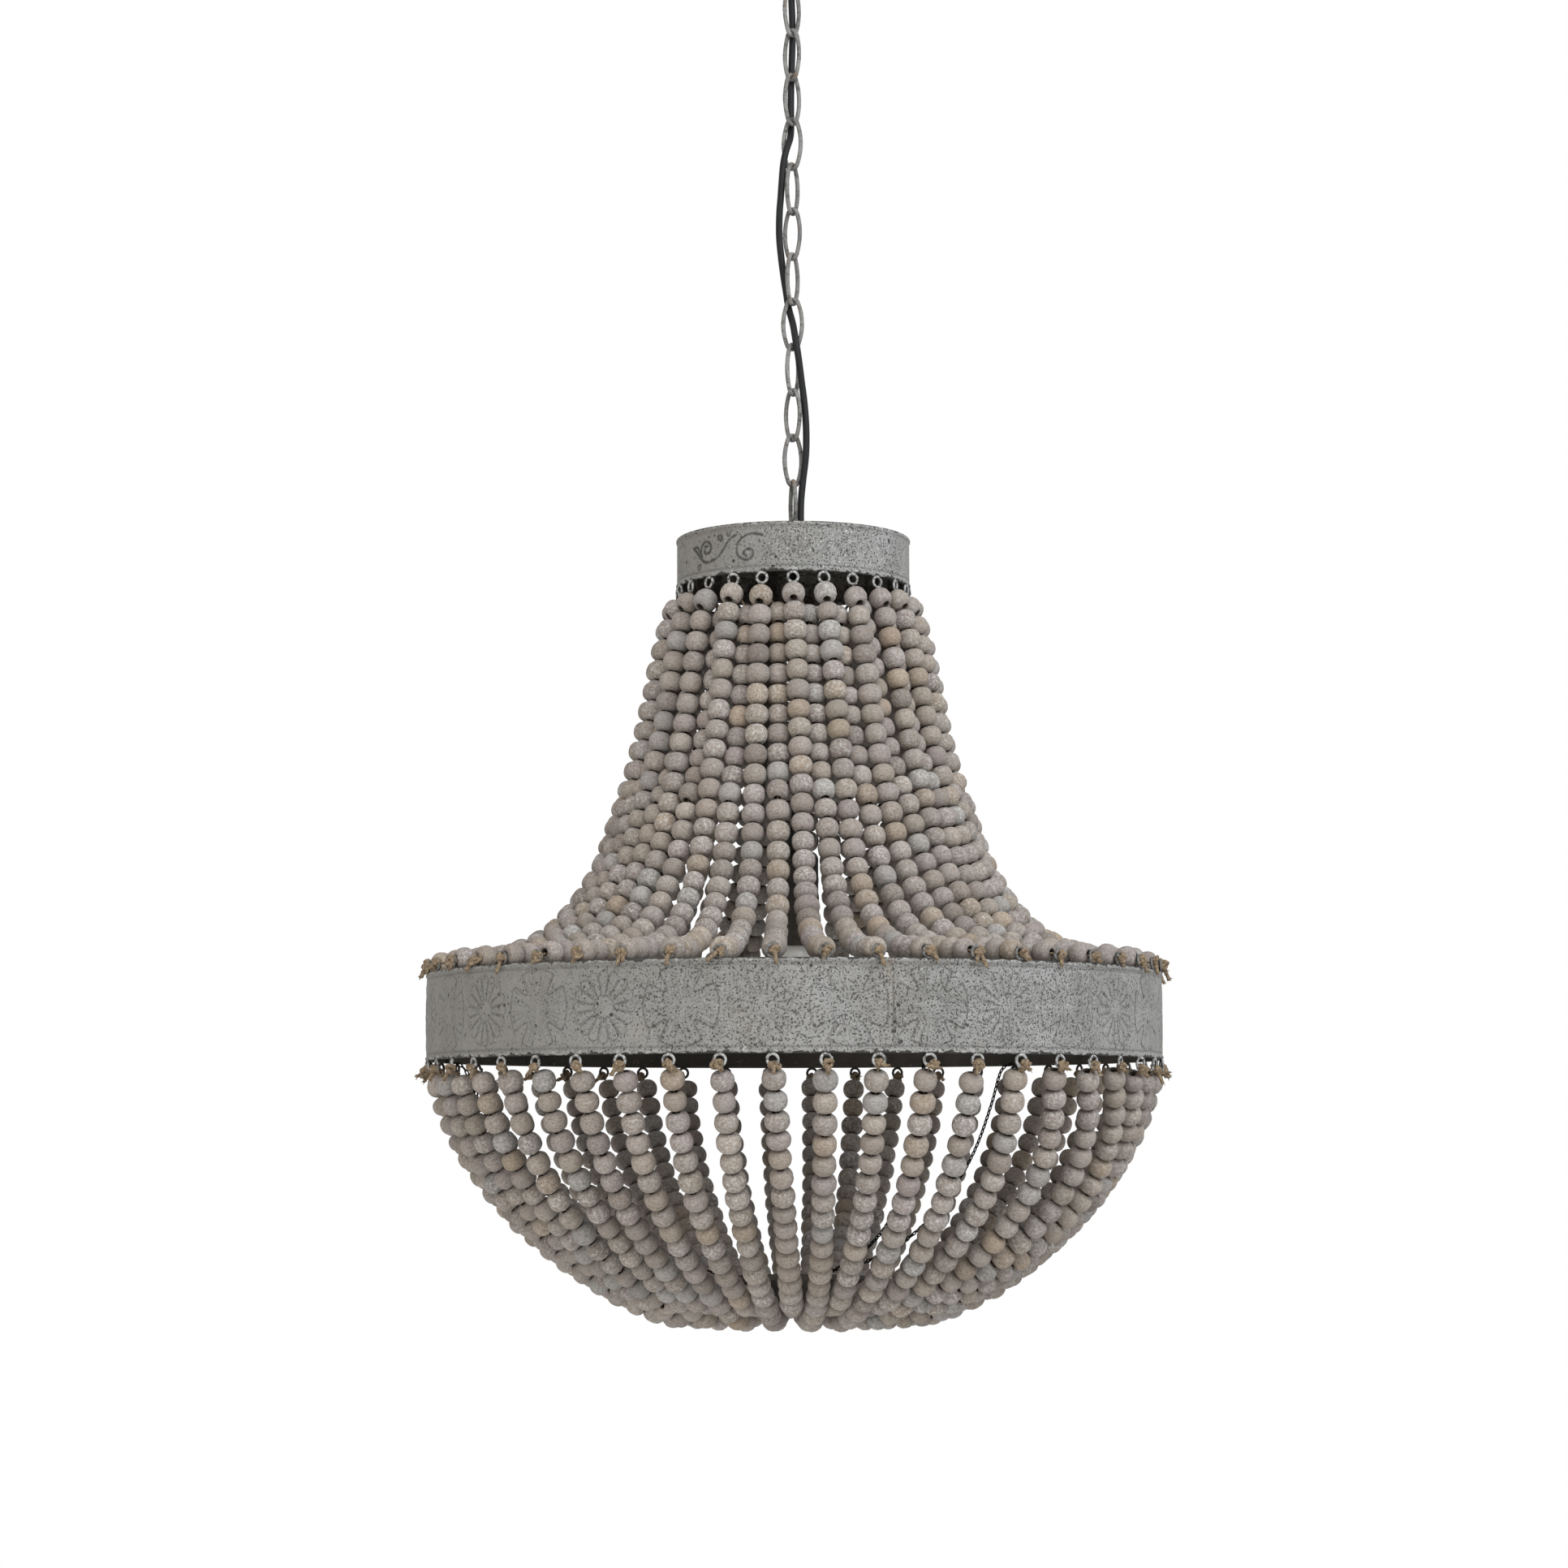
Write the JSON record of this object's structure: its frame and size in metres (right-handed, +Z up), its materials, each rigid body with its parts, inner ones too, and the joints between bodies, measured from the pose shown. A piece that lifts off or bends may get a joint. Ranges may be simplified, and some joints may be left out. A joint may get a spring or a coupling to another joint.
{
  "type": "beaded chandelier",
  "caption": "Hanging lamp whose embossed tin cap and wide tin band carry strings of wooden beads, a flared net above and a bowl below, on an oval-link chain with its flex.",
  "frame": {"origin": "middle of the bracket's upper face, where it lies on the ceiling, on the shade's axis", "axes": "+Z up, out of the bracket's upper face into the ceiling; the picture looks along +Y; +X to its right"},
  "size_m": [0.6026, 0.6026, 1.1697],
  "materials": {
    "grey painted tin": "aged grey, worn matte, embossed, pitted and spotted white",
    "grey painted steel": "aged grey, worn matte with rust spots",
    "plated steel": "satin",
    "dark iron": "brown black, matte",
    "wooden beads": "washed grey beige, raw, whitewashed, strung on jute twine",
    "cord sheath": "smooth black",
    "black plastic": "satin black",
    "porcelain": "glazed white",
    "aluminium": "threaded shell",
    "bulb glass": "smooth opal white"
  },
  "bodies": {
    "ceiling": {"ceiling_bracket": "plated steel", "ceiling_nipple": "plated steel", "ceiling_nut": "plated steel", "terminal_block": "porcelain", "canopy": "grey painted steel", "ceiling_loop": "grey painted steel", "power_cord": "cord sheath"},
    "link_01": {"chain_link_01": "grey painted steel"},
    "link_02": {"chain_link_02": "grey painted steel"},
    "link_03": {"chain_link_03": "grey painted steel"},
    "link_04": {"chain_link_04": "grey painted steel"},
    "link_05": {"chain_link_05": "grey painted steel"},
    "link_06": {"chain_link_06": "grey painted steel"},
    "link_07": {"chain_link_07": "grey painted steel"},
    "link_08": {"chain_link_08": "grey painted steel"},
    "link_09": {"chain_link_09": "grey painted steel"},
    "link_10": {"chain_link_10": "grey painted steel"},
    "link_11": {"chain_link_11": "grey painted steel"},
    "link_12": {"chain_link_12": "grey painted steel"},
    "shade": {"cap_loop": "grey painted steel", "cap_nipple": "plated steel", "cap_nut": "plated steel", "cap": "grey painted tin", "strap_1": "dark iron", "strap_2": "dark iron", "strap_3": "dark iron", "strap_rivet_1": "dark iron", "strap_rivet_2": "dark iron", "strap_rivet_3": "dark iron", "cord_grip": "black plastic", "lampholder_cover": "dark iron", "lampholder_insert": "porcelain", "band": "grey painted tin", "bottom_ring": "dark iron", "upper_strands_1": "wooden beads", "upper_strands_2": "wooden beads", "upper_strands_3": "wooden beads", "upper_strands_4": "wooden beads", "upper_strands_5": "wooden beads", "upper_strands_6": "wooden beads", "upper_strands_7": "wooden beads", "upper_strands_8": "wooden beads", "lower_strands_1": "wooden beads", "lower_strands_2": "wooden beads", "lower_strands_3": "wooden beads", "lower_strands_4": "wooden beads", "lower_strands_5": "wooden beads", "lower_strands_6": "wooden beads", "lower_strands_7": "wooden beads", "lower_strands_8": "wooden beads", "fine_chain_1": "dark iron", "fine_chain_2": "dark iron", "fine_chain_3": "dark iron"},
    "bulb": {"bulb_cap": "aluminium", "bulb_glass": "bulb glass"}
  },
  "joints": [
    {"name": "chain_swing_01", "type": "hinge", "parent": "ceiling", "child": "link_01", "pos_m": [0, 0, -0.0568], "axis": [0.7193, -0.6947, 0], "range_deg": [-8, 8], "deforming": ["power_cord"]},
    {"name": "chain_swing_02", "type": "hinge", "parent": "link_01", "child": "link_02", "pos_m": [0, 0, -0.0951], "axis": [0.7193, 0.6947, 0], "range_deg": [-8, 8], "deforming": ["power_cord"]},
    {"name": "chain_swing_03", "type": "hinge", "parent": "link_02", "child": "link_03", "pos_m": [0, 0, -0.1336], "axis": [0.7193, -0.6947, 0], "range_deg": [-8, 8], "deforming": ["power_cord"]},
    {"name": "chain_swing_04", "type": "hinge", "parent": "link_03", "child": "link_04", "pos_m": [0, 0, -0.1721], "axis": [0.7193, 0.6947, 0], "range_deg": [-8, 8], "deforming": ["power_cord"]},
    {"name": "chain_swing_05", "type": "hinge", "parent": "link_04", "child": "link_05", "pos_m": [0, 0, -0.2106], "axis": [0.866, -0.5, 0], "range_deg": [-8, 8], "deforming": ["power_cord"]},
    {"name": "chain_swing_06", "type": "hinge", "parent": "link_05", "child": "link_06", "pos_m": [0, 0, -0.2491], "axis": [0.5446, 0.8387, 0], "range_deg": [-8, 8], "deforming": ["power_cord"]},
    {"name": "chain_swing_07", "type": "hinge", "parent": "link_06", "child": "link_07", "pos_m": [0, 0, -0.2876], "axis": [0.7547, -0.6561, 0], "range_deg": [-8, 8], "deforming": ["power_cord"]},
    {"name": "chain_swing_08", "type": "hinge", "parent": "link_07", "child": "link_08", "pos_m": [0, 0, -0.3261], "axis": [0.5299, 0.848, 0], "range_deg": [-8, 8], "deforming": ["power_cord"]},
    {"name": "chain_swing_09", "type": "hinge", "parent": "link_08", "child": "link_09", "pos_m": [0, 0, -0.3646], "axis": [0.9511, -0.309, 0], "range_deg": [-8, 8], "deforming": ["power_cord"]},
    {"name": "chain_swing_10", "type": "hinge", "parent": "link_09", "child": "link_10", "pos_m": [0, 0, -0.4031], "axis": [0.5592, 0.829, 0], "range_deg": [-8, 8], "deforming": ["power_cord"]},
    {"name": "chain_swing_11", "type": "hinge", "parent": "link_10", "child": "link_11", "pos_m": [0, 0, -0.4416], "axis": [0.6947, -0.7193, 0], "range_deg": [-8, 8], "deforming": ["power_cord"]},
    {"name": "chain_swing_12", "type": "hinge", "parent": "link_11", "child": "link_12", "pos_m": [0, 0, -0.4801], "axis": [0.848, 0.5299, 0], "range_deg": [-8, 8], "deforming": ["power_cord"]},
    {"name": "chain_swing_13", "type": "hinge", "parent": "link_12", "child": "shade", "pos_m": [0, 0, -0.5186], "axis": [0.2419, -0.9703, 0], "range_deg": [-8, 8], "deforming": ["power_cord"]},
    {"name": "bulb_withdraw", "type": "slide", "parent": "shade", "child": "bulb", "axis": [0, 0, -1], "range_m": [0, 0.03]}
  ]
}
